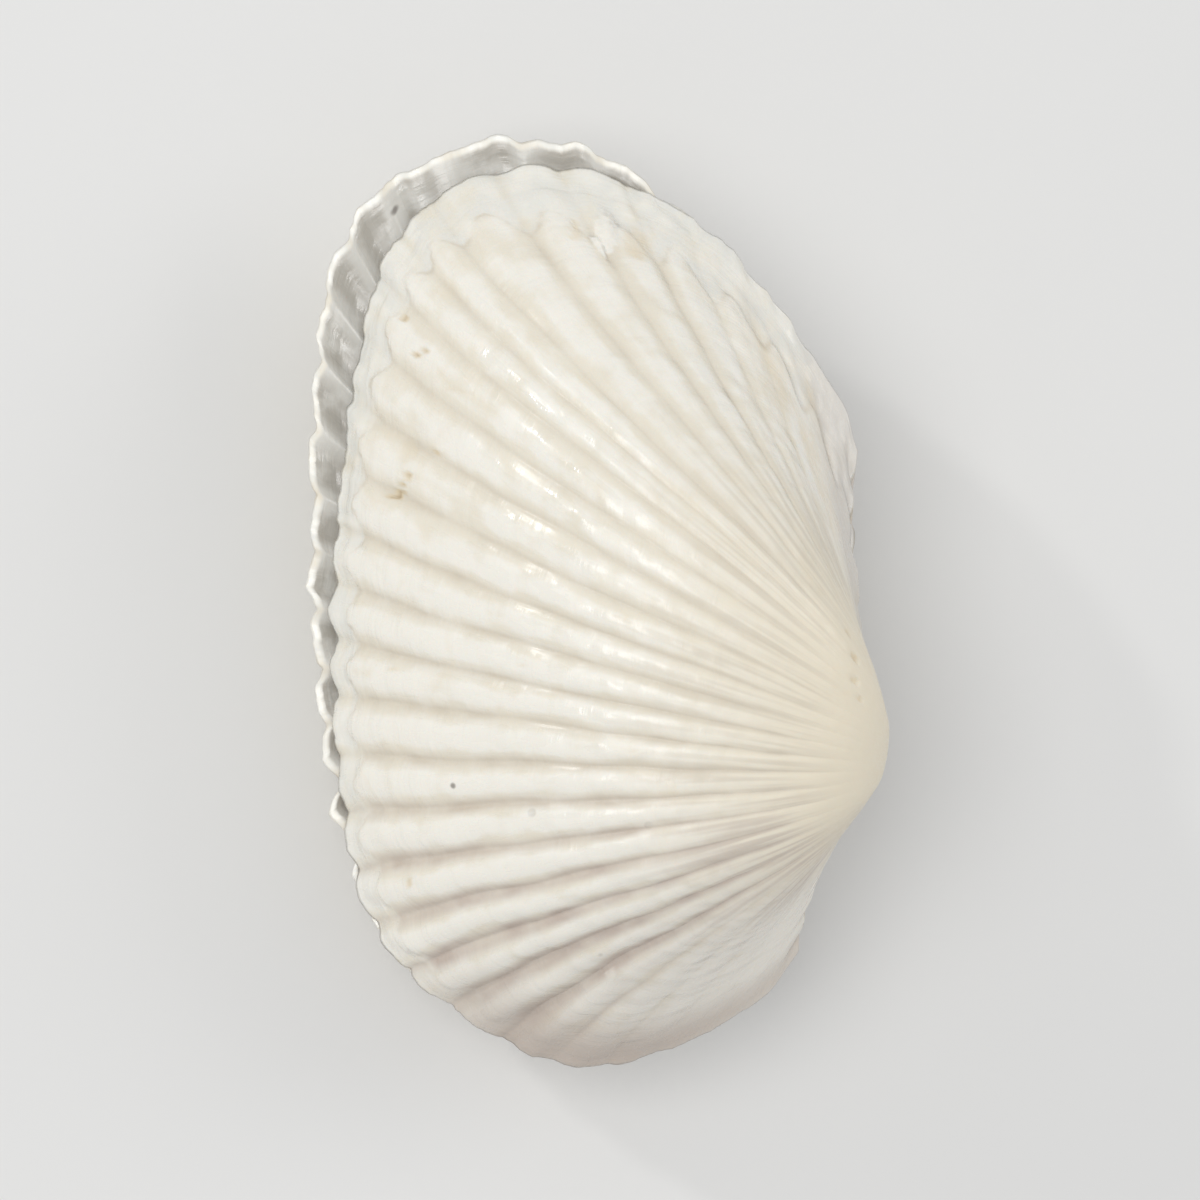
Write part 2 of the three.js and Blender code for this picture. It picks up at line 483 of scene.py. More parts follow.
class ShellColours(bpy.types.PropertyGroup):
    """Colours of the shell."""

    cream: colour_property("Cream", 0xE6DFCE, "Ribs over most of the valve")
    white: colour_property("White", 0xEFEBE0, "Glossy white patches")
    edge_white: colour_property("Edge white", 0xE5E3DA, "The last growth band")
    umbo: colour_property("Umbo", 0xEADFC7, "The worn umbo")
    # Groove colours: the grooves' own beige with painted shade in them.
    groove: colour_property("Groove", 0xD3C9B6, "Grooves between the ribs")
    front_groove: colour_property("Front groove", 0xC4B6A9, "Grooves towards the front end")
    # Greyer tone with painted shade on the front end's edge, where its surface turns away from the
    # light.
    front_grey_and_shade: colour_property("Front edge", 0xBBAEA2, "Greyer edge at the front end")
    flange: colour_property("Flange", 0xCFC9C0, "The smooth flange at the rear of the hinge")
    stain: colour_property("Stain", 0xDCC9A4, "Beige stains")
    scar: colour_property("Scar", 0xA8926F, "Brown scars")
    speck: colour_property("Speck", 0x5A5048, "Small dark specks")
    # Inside: a grey lining that is partly painted shade on the lower valve's rim; rim hollow: painted
    # shade.
    inside: colour_property("Inside", 0xC8C5BC, "Inside of the valves")
    rim_hollow: colour_property("Rim hollow", 0xAEA99E, "Hollows inside the rim")
    hinge: colour_property("Hinge", 0xCDBFA8, "The flat area behind the hinge")


class StageSettings(bpy.types.PropertyGroup):
    """Floor, lights and camera."""

    floor_colour: colour_property("Floor", 0xE4E3E0, "Pale floor")
    sky_colour: colour_property("Sky", 0xF2F4F8, "Soft light from all round")
    sky_strength: share_property("Sky strength", 0.6, "Strength of the light from all round")
    key_power: share_property("Key power", 2.2, "Power of the large lamp, in watts")
    glint_power: share_property("Glint power", 0.8, "Power of the small lamp, in watts")
    fill_power: share_property("Fill power", 0.85, "Power of the lamp on the hinge side, in watts")
    aim: bpy.props.FloatVectorProperty(
        name="Aim",
        description="Point of the valves' meeting plane at the picture's middle",
        default=(7.61 * MM, 17.38 * MM, 0.43 * MM),
        subtype="XYZ",
        precision=5,
    )
    distance: size_property("Distance", 332.75, "Camera from the point it is aimed at")
    tilt: angle_property("Tilt", 1.44, "Camera's lean about the hinge from square-on")
    turn: angle_property("Turn", -83.13, "Camera's turn about its line of sight")
    lens: bpy.props.FloatProperty(name="Lens", description="Focal length", default=165.0, unit="CAMERA")


class Column(NamedTuple):
    """One column of the mesh, running from the beak over the edge to the end of the hollow."""

    edge: Vector
    outward: Vector
    rib: float
    on_hinge: bool
    ragged: float
    shelf: float


class Station(NamedTuple):
    """One ring of the mesh: its growth turn, and how far through the wall it lies, 0 being outside."""

    turn: float
    through: float


class Valve(NamedTuple):
    """What sets one valve apart from the other."""

    name: str
    node: str
    slot: str
    side: int
    reach: float
    first_groove: float
    ragged: float
    filling: float
    marks: tuple
    dot: Dot
    seed: float


UPPER = Valve(
    name="upper_shell_valve", node="upper_valve", slot="upper_shell", side=1, reach=0.0,
    first_groove=0.0, ragged=0.6, filling=0.4, marks=MARKS, dot=UPPER_DOT, seed=3.0,
)
LOWER = Valve(
    name="lower_shell_valve", node="lower_valve", slot="lower_shell", side=-1, reach=1.12,
    first_groove=0.5, ragged=1.0, filling=0.0, marks=(), dot=LOWER_DOT, seed=41.0,
)


# Small sums

def smooth(value, low, high):
    """0 below low, 1 above high, and an even ease between."""
    share = min(1.0, max(0.0, (value - low) / (high - low)))
    return share * share * (3 - 2 * share)


def over_turns(turn, low, high):
    """The same ease for a turn in radians, between two turns in degrees."""
    return smooth(turn, math.radians(low), math.radians(high))


def between(value, table):
    """Value read off a table of pairs, straight between its rows."""
    place = min(max(bisect_left([row[0] for row in table], value), 1), len(table) - 1)
    (low, start), (high, end) = table[place - 1], table[place]
    return start + (end - start) * (value - low) / (high - low)


def bell(distance, width):
    """1 at no distance, easing to nothing past the width."""
    return math.exp(-((distance / width) ** 2))


def wavering(waver, valve, across, along=0.0):
    """An unevenness at a place across the ribs and along them."""
    place = Vector((across * waver.across, along * waver.along, valve.seed + waver.shift))
    return waver.amount * noise.noise(place)


def finer_wavering(place, fall):
    """An unevenness that has finer changes on coarser ones."""
    return noise.fractal(place, fall, FINER_STEP, FINER_LAYERS)


# Shape of a valve

class EdgeLine:
    """The free edge as a fine line, looked up by its share of the length."""

    def __init__(self):
        knots = [Vector(row) * MM for row in EDGE]
        last = len(knots) - 1
        self.points = [knots[0]]
        # Handles of a sixth of the way between the neighbours make a smooth line through all.
        for i in range(last):
            leave = (knots[i + 1] - knots[max(i - 1, 0)]) / 6
            arrive = (knots[min(i + 2, last)] - knots[i]) / 6
            handles = (knots[i] + leave, knots[i + 1] - arrive)
            curve = geometry.interpolate_bezier(knots[i], *handles, knots[i + 1], EDGE_STEPS)
            self.points += curve[1:]
        self.lengths = [0.0]
        for start, end in zip(self.points, self.points[1:]):
            self.lengths.append(self.lengths[-1] + (end.xy - start.xy).length)

    def at(self, share):
        """The edge point, its outward direction in the meeting plane, and the lower valve's reach."""
        length = share * self.lengths[-1]
        place = min(max(bisect_left(self.lengths, length), 1), len(self.points) - 1)
        start, end = self.points[place - 1], self.points[place]
        part = (length - self.lengths[place - 1]) / (self.lengths[place] - self.lengths[place - 1])
        point = start.lerp(end, part)
        along = (end.xy - start.xy).normalized()
        return point.xy.to_3d(), Vector((along.y, -along.x, 0)), point.z


def rib_number(step):
    """Rib number of a mesh column, with the columns crowded towards the grooves."""
    steps = step / RIB_COLUMNS
    return steps - COLUMN_CROWDING * math.sin(math.tau * steps) / math.tau


def edge_unevenness(sizes, valve, rib):
    """How far the edge stands out from its smooth line."""
    uneven = finer_wavering(Vector((rib * RAGGED_CHANGES, 0, valve.seed)), RAGGED_FALL)
    off_hinge = smooth(rib, *RAGGED_FIRST_RIBS) * (1 - smooth(rib, *RAGGED_LAST_RIBS))
    ragged = sizes.raggedness * valve.ragged * uneven * off_hinge
    if valve.side > 0:
        return ragged
    return ragged - sizes.tuck * max(smooth(rib, *TUCKED_RIBS), 1 - smooth(rib, *REAR_TUCKED_RIBS))


def edge_columns(sizes, valve):
    """Columns round a valve: along the free edge, then back along the hinge."""
    line = EdgeLine()
    columns = []
    for step in range(RIB_COUNT * RIB_COLUMNS):
        rib = rib_number(step - valve.first_groove * RIB_COLUMNS) + valve.first_groove
        rib = max(rib, 0.0)
        point, outward, reach = line.at(between(rib, GROOVES))
        ragged = edge_unevenness(sizes, valve, rib)
        shelf = reach * valve.reach
        columns.append(Column(point + outward * shelf, outward, rib, False, ragged, shelf))
    front, rear = line.at(1)[0], line.at(0)[0]
    for step in range(HINGE_COLUMNS):
        point = front.lerp(rear, step / HINGE_COLUMNS)
        columns.append(Column(point, Vector((0, -1, 0)), RIB_COUNT, True, 0.0, 0.0))
    return columns


def ring_size(sizes, turn):
    """Size of a growth ring as a share of the full-grown edge."""
    return math.exp(-turn * (sizes.growth_rate + sizes.growth_gain * turn))


def grown(sizes, point, turn):
    """Where a point of the full-grown edge lay when the valve had turned back by an angle."""
    beak = Vector((0, 0, sizes.beak_height))
    return beak + Matrix.Rotation(turn, 3, "X") @ (point - beak) * ring_size(sizes, turn)


def growth_stations(sizes):
    """Rings of a valve: from the beak to the edge, over the lip, and in to the end of the hollow."""
    outer = [(1 - ring / OUTER_RINGS) ** RING_CROWDING for ring in range(OUTER_RINGS)]
    inner = [(ring / INNER_RINGS) ** RING_CROWDING for ring in range(INNER_RINGS + 1)]
    stations = [Station(sizes.beak_turn * share, 0) for share in outer]
    stations += [Station(0, ring / LIP_RINGS) for ring in range(LIP_RINGS)]
    return stations + [Station(sizes.hollow_turn * share, 1) for share in inner]


def band_share(valve, column, turn):
    """1 on the last growth band and 0 above its step, which bulges out at the end of each rib."""
    scallop = 1 + BAND_SCALLOP * math.cos(math.tau * (column.rib - valve.first_groove))
    width = between(column.rib, BAND_WIDTHS) * scallop + wavering(BAND_WAVER, valve, column.rib)
    from_edge = turn * column.edge.y / MM
    return 1 - smooth(from_edge, *(width * share for share in BAND_BORDER))


def notch(sizes, column, turn):
    """Depth of the notches that halts in growth left in the ridges at the ends of the hinge."""
    depth = 0.0
    for end, turns in ((EDGE[0], REAR_NOTCHES), (EDGE[-1], FRONT_NOTCHES)):
        away = (column.edge.xy / MM - Vector(end[:2])).length
        if away < NOTCH_REACH:
            notches = sum(bell(math.degrees(turn) - place, NOTCH_WIDTH) for place in turns)
            depth += bell(away, NOTCH_LENGTH) * notches
    return sizes.notch_depth * depth


def groove_weight(sizes, valve, column, turn):
    """1 on the floor of a groove and 0 on top of a rib, less where grooves are worn or filled."""
    if column.on_hinge:
        return 0.0
    wander = wavering(GROOVE_WANDER, valve, column.rib, turn)
    phase = (column.rib + wander - valve.first_groove) % 1
    away = min(phase, 1 - phase)
    rounded = smooth(column.rib, *ROUNDED_RIBS)
    sharpness = REAR_SHARPNESS + (FRONT_SHARPNESS - REAR_SHARPNESS) * rounded
    trough = math.cos(math.pi * away) ** sharpness
    cut = TROUGH_SHARE * trough + (1 - TROUGH_SHARE) * bell(away, sizes.groove_width)
    uneven = 1 + wavering(GROOVE_UNEVENNESS, valve, column.rib, turn)
    wear = 1 - over_turns(turn, *GROOVE_WORN_TURNS)
    front_worn = smooth(column.rib, *FRONT_WORN_RIBS) * over_turns(turn, *FRONT_WORN_TURNS)
    wear *= 1 - FRONT_WEAR * front_worn
    return cut * uneven * wear * (1 - valve.filling * band_share(valve, column, turn))


def rear_line(sizes, valve, column, turn):
    """Depth of the fine line along the middle of the rear ribs."""
    phase = (column.rib - valve.first_groove) % 1
    rear = smooth(column.rib, *LINE_FIRST_RIBS) * (1 - smooth(column.rib, *LINE_LAST_RIBS))
    unworn = 1 - over_turns(turn, *LINE_WORN_TURNS)
    return sizes.line_depth * rear * unworn * bell(phase - 0.5, LINE_WIDTH)


def band_relief(sizes, valve, column, turn):
    """Height of the bumps on the last growth band and of the step up to the older shell."""
    band = band_share(valve, column, turn)
    stepped = 1 - BAND_FADE * smooth(column.rib, *BAND_FADED_RIBS)
    bumps = wavering(BAND_BUMPS, valve, column.rib, turn * column.edge.y / MM)
    step = OLDER_SHELL_LIFT * ring_size(sizes, turn) - band * stepped
    return band * sizes.band_bumps * bumps * stepped + sizes.band_step * step


def flange_relief(sizes, column, turn):
    """Height of the swelling of the smooth flange at the rear."""
    fading = 1 - over_turns(turn, 0, FLANGE_TURN)
    return sizes.flange_bulge * bell(column.rib - FLANGE_RIB, FLANGE_WIDTH) * fading


def ring_relief(sizes, valve, column, turn):
    """Height of the growth rings across the ribs and of the steps at older growth halts."""
    rings = wavering(GROWTH_RINGS, valve, column.rib, turn)
    unworn = 1 - over_turns(turn, *RING_WORN_TURNS)
    off_hinge = smooth(column.edge.y / MM, *RING_CLEARANCE)
    stronger = 1 + band_share(valve, column, turn)
    height = sizes.ring_height * rings * stronger * unworn * off_hinge
    for degrees, step in HALTS:
        past = math.degrees(turn) + wavering(HALT_DRIFT, valve, column.rib, degrees) - degrees
        height += step * MM * smooth(past, -HALT_WIDTH, HALT_WIDTH)
    return height * ring_size(sizes, turn)


def outer_relief(sizes, valve, column, turn):
    """Height of the outside over the smooth valve, in metres."""
    height = -notch(sizes, column, turn)
    if column.on_hinge:
        return height + sizes.ripple * wavering(HINGE_RIPPLES, valve, column.edge.x / MM)
    depth = between(column.rib, GROOVE_DEPTHS) * MM * sizes.groove_share * ring_size(sizes, turn)
    height -= depth * groove_weight(sizes, valve, column, turn)
    height -= rear_line(sizes, valve, column, turn)
    height += column.ragged * (1 - over_turns(turn, 0, RAGGED_TURN))
    height += band_relief(sizes, valve, column, turn)
    height += flange_relief(sizes, column, turn)
    return height + ring_relief(sizes, valve, column, turn)


def rim_hollow(sizes, valve, column, past_lip):
    """Depth of the hollow that a rib leaves inside the edge."""
    if column.on_hinge:
        return 0.0
    under_rib = 1 - groove_weight(sizes, valve, column, 0)
    along = smooth(past_lip, *HOLLOW_START) * (1 - smooth(past_lip, *HOLLOW_END))
    return sizes.flute_depth * under_rib * along * between(column.rib, GROOVE_DEPTHS) / FULL_DEPTH


def inner_point(sizes, valve, column, station):
    """A point of the lip or of the inside in the valve's own frame."""
    past_lip = min(1.0, station.turn / sizes.lip_turn)
    turn = sizes.lip_turn * past_lip ** sizes.lip_ease if past_lip < 1 else station.turn
    lip = sizes.upper_lip if valve.side > 0 else sizes.lower_lip
    edge_wall = sizes.hinge_plate if column.on_hinge else sizes.edge_wall
    wall = edge_wall + (sizes.umbo_wall - edge_wall) * station.turn / sizes.hollow_turn
    lip_wall = sizes.hinge_plate if column.on_hinge else lip
    thickness = (lip_wall + (wall - lip_wall) * past_lip) * station.through
    thickness += sizes.growth_rate * (station.turn - turn) * (column.edge - Vector(sizes.middle)).length
    shelf_end = 1 - smooth(station.turn, sizes.lip_turn, SHELF_END * sizes.lip_turn)
    thickness += column.shelf * smooth(past_lip, *SHELF_START) * shelf_end * station.through
    height = outer_relief(sizes, valve, column, 0) * (1 - past_lip)
    edge = column.edge + column.outward * height
    inward = (Vector(sizes.middle) - edge).normalized()
    point = grown(sizes, edge + inward * thickness / ring_size(sizes, turn), turn)
    point.z += rim_hollow(sizes, valve, column, past_lip)
    return point


def valve_point(sizes, valve, column, station):
    """A point of the valve's surface in the valve's own frame."""
    if station.through > 0:
        return inner_point(sizes, valve, column, station)
    height = outer_relief(sizes, valve, column, station.turn)
    raised = column.edge + column.outward * height / ring_size(sizes, station.turn)
    return grown(sizes, raised, station.turn)


def lying_matrix(sizes):
    """From a valve's own frame to the part's frame."""
    turns = [
        Matrix.Rotation(math.radians(90), 4, "Z"),
        Matrix.Rotation(sizes.rest_roll, 4, "Y"),
        Matrix.Rotation(sizes.rest_tilt, 4, "X"),
    ]
    return Matrix.Translation(sizes.hinge_place) @ turns[0] @ turns[1] @ turns[2]


def roughen(bm, sizes, valve):
    """Moves the surface a little in and out, as a grown shell's is."""
    bm.normal_update()
    shift = Vector((valve.seed, 0, 0))
    for vert in bm.verts:
        place = vert.co / MM
        swell = finer_wavering(place * SWELL_CHANGES + shift, SWELL_FALL)
        grain = GRAIN_SHARE * noise.noise(place * GRAIN_CHANGES)
        vert.co += vert.normal * sizes.roughening * (swell + grain)


def leave_marks(bm, sizes, valve, stain):
    """Sinks the valve's pits into its outside, raises its chips, and notes how brown they are."""
    line = EdgeLine()
    for rib, degrees, across, along, height, brown in valve.marks:
        turn = math.radians(degrees)
        centre = grown(sizes, line.at(between(rib, GROOVES))[0], turn)
        a_tenth_on = grown(sizes, line.at(between(rib + 0.1, GROOVES))[0], turn)
        crosswise = (a_tenth_on - centre).normalized()
        for vert in bm.verts:
            offset = vert.co - centre
            if offset.length > MARK_REACH * along * MM:
                continue
            offset -= vert.normal * offset.dot(vert.normal)
            sideways = offset.dot(crosswise)
            lengthways = (offset - crosswise * sideways).length
            ragged = 1 + MARK_RAGGEDNESS * noise.noise(vert.co / MM * MARK_CHANGES)
            away = math.hypot(sideways / across, lengthways / along) / MM * ragged
            share = 1 - smooth(away, *MARK_BORDER)
            vert.co += vert.normal * height * MM * share
            vert[stain] += brown * share


def note_place(vert, layers, sizes, valve, column, station):
    """Notes on a vertex what the material needs to know of its place."""
    depth = between(column.rib, GROOVE_DEPTHS) / FULL_DEPTH
    vert[layers["rib"]] = column.rib
    vert[layers["turn"]] = station.turn
    vert[layers["groove"]] = groove_weight(sizes, valve, column, station.turn) * depth
    vert[layers["inside"]] = station.through
    vert[layers["hinge"]] = column.on_hinge
    vert[layers["band"]] = 0 if column.on_hinge else band_share(valve, column, station.turn)


def make_valve(valve, sizes):
    """One valve as a closed mesh, an unrolled grid bent to the shell's growth and welded."""
    columns = edge_columns(sizes, valve)
    stations = growth_stations(sizes)
    across, along = len(columns), len(stations) + 1
    end = grown(sizes, Vector(sizes.middle), sizes.hollow_turn)
    beak = Vector((0, 0, sizes.beak_height))

    bm = bmesh.new()
    layers = {name: bm.verts.layers.float.new(name) for name in SURFACE_NOTES}
    bmesh.ops.create_grid(bm, x_segments=across, y_segments=along, size=1)
    for vert in bm.verts:
        column = columns[round((vert.co.x + 1) / 2 * across) % across]
        ring = round((vert.co.y + 1) / 2 * along)
        station = stations[min(max(ring - 1, 0), len(stations) - 1)]
        note_place(vert, layers, sizes, valve, column, station)
        if ring == 0:
            vert.co = beak
        elif ring == along:
            vert.co = end
        else:
            vert.co = valve_point(sizes, valve, column, station)
    bmesh.ops.remove_doubles(bm, verts=bm.verts, dist=WELD * MM)
    bmesh.ops.recalc_face_normals(bm, faces=bm.faces)
    roughen(bm, sizes, valve)
    leave_marks(bm, sizes, valve, layers["stain"])

    mirror = Matrix.Diagonal((1, 1, valve.side, 1))
    lift = Matrix.Translation((0, 0, valve.side * sizes.valve_gap / 2))
    bmesh.ops.transform(bm, matrix=lying_matrix(sizes) @ lift @ mirror, verts=bm.verts)
    if valve.side < 0:
        bmesh.ops.reverse_faces(bm, faces=bm.faces)
    for face in bm.faces:
        face.smooth = True
    mesh = bpy.data.meshes.new(valve.name)
    bm.to_mesh(mesh)
    bm.free()
    piece = bpy.data.objects.new(valve.name, mesh)
    bpy.context.scene.collection.objects.link(piece)
    return piece


# Shell material

def opaque(colour):
    """A colour with full cover, as sockets take it, or a node's output as it is."""
    return colour if isinstance(colour, bpy.types.NodeSocket) else (*colour, 1.0)


class Nodes:
    """Short ways to add nodes to one material."""

    def __init__(self, name):
        self.material = bpy.data.materials.new(name)
        self.material.use_nodes = True
        self.tree = self.material.node_tree
        self.surface = self.tree.nodes["Principled BSDF"]
        self.place = self.add("ShaderNodeTexCoord").outputs["Object"]

    def add(self, kind, inputs=None, **settings):
        """A node with its settings, its inputs given as values or as other nodes' outputs."""
        node = self.tree.nodes.new(kind)
        for key, value in settings.items():
            setattr(node, key, value)
        for key, value in (inputs or {}).items():
            self.feed(node.inputs[key], value)
        return node

    def feed(self, socket, value):
        """Sets a socket to a value, or links it to an output."""
        if isinstance(value, bpy.types.NodeSocket):
            self.tree.links.new(value, socket)
        else:
            socket.default_value = value

    def maths(self, operation, first, second=0.0):
        """A sum of two numbers."""
        return self.add("ShaderNodeMath", {0: first, 1: second}, operation=operation).outputs[0]

    def total(self, first, *others):
        """Numbers added up."""
        for other in others:
            first = self.maths("ADD", first, other)
        return first

    def product(self, first, *others):
        """Numbers multiplied together."""
        for other in others:
            first = self.maths("MULTIPLY", first, other)
        return first

    def eased(self, value, span, ends=(0.0, 1.0)):
        """A number eased from one end to the other as the value crosses a span."""
        names = ("Value", "From Min", "From Max", "To Min", "To Max")
        inputs = dict(zip(names, (value, *span, *ends)))
        return self.add("ShaderNodeMapRange", inputs, interpolation_type="SMOOTHSTEP").outputs[0]

    def mixed(self, share, first, second):
        """One colour passing into another."""
        inputs = {0: share, 6: opaque(first), 7: opaque(second)}
        return self.add("ShaderNodeMix", inputs, data_type="RGBA").outputs[2]

    def clouds(self, place, scale, detail, distortion):
        """Soft irregular patches."""
        inputs = {"Vector": place, "Scale": scale, "Detail": detail, "Distortion": distortion}
        return self.add("ShaderNodeTexNoise", inputs).outputs[0]

    def mottled(self, mottle):
        """A cloudy pattern in space."""
        return self.clouds(self.place, mottle.scale, mottle.detail, mottle.distortion)


class ShellFinish(Nodes):
    """Cream-white shell: glossy ribs, grooves tinted and darkened with painted shade, growth lines and a
    worn, yellowish umbo.
    """

    def __init__(self, name, colours, dot):
        super().__init__(name)
        self.colours = colours
        self.dot = dot
        self.rib = self.attribute("rib")
        self.turn = self.attribute("turn")
        self.groove = self.attribute("groove")
        self.inside = self.attribute("inside")
        self.hinge = self.attribute("hinge")
        self.band = self.attribute("band")
        self.mark = self.attribute("stain")
        self.growth = self.add("ShaderNodeCombineXYZ", {"X": self.rib, "Y": self.turn}).outputs[0]
        self.unworn = self.over_turns(FINISH_WORN_TURNS, (1.0, 0.1))
        # The grooves' beige tint with painted shade, darker towards the front.
        to_front = self.eased(self.rib, FRONT_GROOVE_TINT_AND_SHADE_RIBS)
        self.groove_tint_and_shade = self.mixed(to_front, colours.groove, colours.front_groove)
        self.colour = colours.cream

    def attribute(self, name):
        """A number stored on the piece's vertices."""
        return self.add("ShaderNodeAttribute", attribute_name=name).outputs["Fac"]

    def over_turns(self, degrees, ends=(0.0, 1.0)):
        """A number eased from one end to the other between two turns in degrees."""
        return self.eased(self.turn, [math.radians(turn) for turn in degrees], ends)

    def patterned(self, pattern):
        """A cloudy pattern that follows the shell's growth."""
        inputs = {"Vector": self.growth, "Scale": (pattern.across, pattern.along, 1.0)}
        place = self.add("ShaderNodeMapping", inputs).outputs[0]
        return self.clouds(place, 1.0, pattern.detail, pattern.distortion)

    def cover(self, share, colour):
        """Covers what is painted so far with a share of a colour."""
        self.colour = self.mixed(share, self.colour, colour)

    def paint_ribs(self):
        """White patches on the cream ribs, mostly along their crests, and the yellowish umbo."""
        streaks = self.product(self.patterned(STREAKS), 0.35)
        ring_bands = self.product(self.patterned(RING_BANDS), 0.1)
        bars = self.product(self.patterned(BARS), 0.4)
        mottle = self.product(self.mottled(RIB_MOTTLE), 0.3)
        crests = self.eased(self.groove, (0.0, 0.45), (0.1, -0.06))
        whiteness = self.total(streaks, ring_bands, bars, mottle, crests)
        needed = self.eased(self.rib, WHITER_RIBS, (0.62, 0.54))
        patches = self.product(self.maths("SUBTRACT", whiteness, needed), self.unworn)
        self.cover(self.eased(patches, (-0.11, 0.11)), self.colours.white)
        self.cover(self.over_turns(UMBO_TURNS, (0.0, 0.9)), self.colours.umbo)

    def paint_band(self):
        """The blotched last growth band, with a line of painted shade where the ribs end at its border.
        """
        blotches = self.eased(self.mottled(BAND_BLOTCHES), (0.38, 0.62), (0.1, 0.9))
        fading = self.eased(self.rib, PLAINER_BAND_RIBS, (1.0, 0.25))
        self.cover(self.product(self.band, fading, blotches), self.colours.edge_white)
        from_outside = self.eased(self.band, (0.0, 0.5), (0.0, 0.75))
        from_inside = self.eased(self.band, (1.0, 0.5))
        # Painted shade under the step where the ribs end.
        step_shade_line = self.product(from_outside, from_inside, fading, blotches)
        self.cover(step_shade_line, self.colours.groove)

    def paint_stains(self):
        """The greyer rear flange, the smudges beside it, and faint stains all over."""
        self.cover(self.eased(self.rib, OFF_FLANGE_RIBS, (0.8, 0.0)), self.colours.flange)
        smudges = self.eased(self.patterned(SMUDGES), (0.34, 0.7))
        first_ribs = self.eased(self.rib, SMUDGE_FIRST_RIBS)
        last_ribs = self.eased(self.rib, SMUDGE_LAST_RIBS, (0.6, 0.0))
        first_turns = self.eased(self.turn, SMUDGE_FIRST_TURNS)
        last_turns = self.eased(self.turn, SMUDGE_LAST_TURNS, (1.0, 0.0))
        smudged = self.product(smudges, first_ribs, last_ribs, first_turns, last_turns)
        self.cover(smudged, self.colours.stain)
        stains = self.eased(self.mottled(STAINS), (0.58, 0.76), (0.0, 0.14))
        self.cover(stains, self.colours.stain)

    def paint_grooves(self):
        """Beige tint and painted shade in the grooves, and rays of the tint where they run out below the
        umbo.
        """
        uneven = self.eased(self.mottled(GROOVE_TINT_AND_SHADE_MOTTLE), (0.3, 0.7), (0.55, 1.0))
        # Painted shade with the grooves' beige tint, deepest on their floors.
        self.cover(self.product(self.eased(self.groove, (0.25, 0.95)), uneven), self.groove_tint_and_shade)
        rays = self.eased(self.patterned(RAYS), (0.42, 0.66), (0.0, 0.6))
        by_umbo = self.over_turns(RAY_FIRST_TURNS)
        below_cap = self.over_turns(RAY_LAST_TURNS, (1.0, 0.0))
        self.cover(self.product(rays, by_umbo, below_cap), self.groove_tint_and_shade)

    def paint_inside(self):
        """The grey lining, partly painted shade, with painted shade in its rim hollows, and the tint
        behind the hinge.
        """
        hollow = self.eased(self.groove, (0.55, 0.1))
        uneven = self.eased(self.mottled(LINING_MOTTLE), (0.3, 0.6))
        shaded = self.product(hollow, uneven)
        # Painted shade in the rim hollows, over the lining, whose grey is partly painted shade too.
        shaded_lining = self.mixed(shaded, self.colours.inside, self.colours.rim_hollow)
        self.cover(self.eased(self.inside, (0.45, 1.0)), shaded_lining)
        behind = self.product(self.hinge, self.over_turns(HINGE_TURNS, (0.1, 0.8)))
        self.cover(behind, self.colours.hinge)

    def paint_front_grey_and_shade(self):
        """The front end's edge, greyer in tone and darkened with painted shade where its surface turns
        away from the light.
        """
        front = self.eased(self.rib, FRONT_EDGE_RIBS)
        end = self.eased(self.rib, FRONT_EDGE_END_RIBS, (0.7, 1.0))
        from_edge = self.over_turns(FRONT_EDGE_TURNS, (0.9, 0.22))
        # Greyer tone and painted shade, strongest at the edge.
        self.cover(self.product(front, end, from_edge), self.colours.front_grey_and_shade)

    def paint_marks(self):
        """White chips, beige stains round the pits, a beige patch of painted shadow beside the chip,
        brown scars, the dark dot and small specks.
        """
        self.cover(self.eased(self.mark, (-0.05, -0.4)), self.colours.white)
        self.cover(self.eased(self.mark, (0.0, 0.3), (0.0, 0.6)), self.colours.stain)
        self.cover(self.eased(self.mark, (0.2, 0.6), (0.0, 0.8)), self.colours.scar)
        self.cover(self.dark_dot(), self.colours.speck)
        inputs = {"Vector": self.place, "Scale": SPECKS_PER_METRE}
        away = self.add("ShaderNodeTexVoronoi", inputs).outputs["Distance"]
        speckled = self.eased(self.mottled(SPECKLED_AREAS), (0.6, 0.75))
        specks = self.product(self.eased(away, (0.05, 0.09), (0.7, 0.0)), speckled)
        self.cover(specks, self.colours.speck)

    def dark_dot(self):
        """How dark the valve's dot is: nothing away from it or on the other face."""
        dot = self.dot
        ribs_off = self.maths("SUBTRACT", self.rib, dot.rib)
        turns_off = self.maths("SUBTRACT", self.turn, math.radians(dot.turn))
        across = self.maths("POWER", self.product(ribs_off, dot.rib_width), 2.0)
        along = self.maths("POWER", self.product(turns_off, dot.radian_length), 2.0)
        away = self.maths("SQRT", self.total(across, along))
        darkness = self.eased(away, [share * dot.radius for share in DOT_BORDER], (DOT_DARKNESS, 0.0))
        on_face = self.inside if dot.inside else self.maths("SUBTRACT", 1.0, self.inside)
        return self.product(darkness, on_face)

    def roughness(self):
        """Glossy patches along the ribs, a matt umbo and matt grooves."""
        gloss = self.eased(self.patterned(GLOSS), (0.42, 0.58), (0.42, 0.12))
        matt_umbo = self.over_turns(MATT_TURNS, (0.0, 0.22))
        return self.total(gloss, matt_umbo, self.product(self.groove, 0.3))

